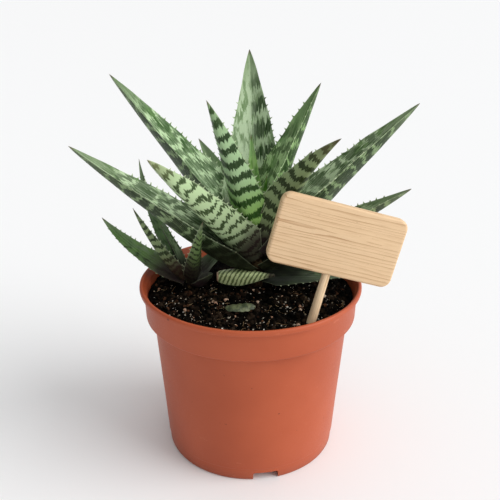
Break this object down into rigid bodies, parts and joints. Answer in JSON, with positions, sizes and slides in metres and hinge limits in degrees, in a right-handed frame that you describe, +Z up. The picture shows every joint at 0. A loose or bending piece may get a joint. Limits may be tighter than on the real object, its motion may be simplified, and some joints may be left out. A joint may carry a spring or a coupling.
{
  "type": "potted aloe",
  "caption": "Small potted aloe: a rosette of banded leaves with toothed margins and a side shoot, in a tapered plastic pot of soil, with a blank wooden plant label on a stake.",
  "frame": {"origin": "on the pot's axis, on the surface that the pot stands on", "axes": "+Z up, -Y towards the front, from where the label and the side shoot at the left are seen, +X to the right"},
  "size_m": [0.1807, 0.1204, 0.2109],
  "materials": {
    "pot_plastic": "matte, terracotta orange",
    "soil": "dark peat with pale grains",
    "stem": "rough, brown",
    "leaf": "waxy, green with pale bands",
    "pup_leaf": "waxy, dark green with paler marks",
    "label_wood": "planed, pale"
  },
  "bodies": {
    "root": {"pot": "pot_plastic", "soil": "soil", "stem": "stem", "pup_stem": "stem", "leaf_heart_young": "leaf", "leaf_heart_bud": "leaf", "leaf_back_tall": "leaf", "leaf_right_upper": "leaf", "leaf_left_upright": "leaf", "leaf_left_upper": "leaf", "leaf_right_front": "leaf", "leaf_right_long": "leaf", "leaf_left_front": "leaf", "leaf_rear_left": "leaf", "leaf_rear_right": "leaf", "leaf_left_long": "leaf", "leaf_right_low": "leaf", "leaf_rear_low": "leaf", "leaf_front_stub": "leaf", "leaf_soil_right": "leaf", "pup_leaf_tall": "pup_leaf", "pup_leaf_front": "pup_leaf", "pup_leaf_left_upper": "pup_leaf", "pup_leaf_dark": "pup_leaf", "pup_leaf_left_low": "pup_leaf", "pup_leaf_right_stub": "pup_leaf", "pup_leaf_right_low": "pup_leaf", "leaf_scrap": "pup_leaf", "label_board": "label_wood", "label_stake": "label_wood"}
  },
  "joints": []
}
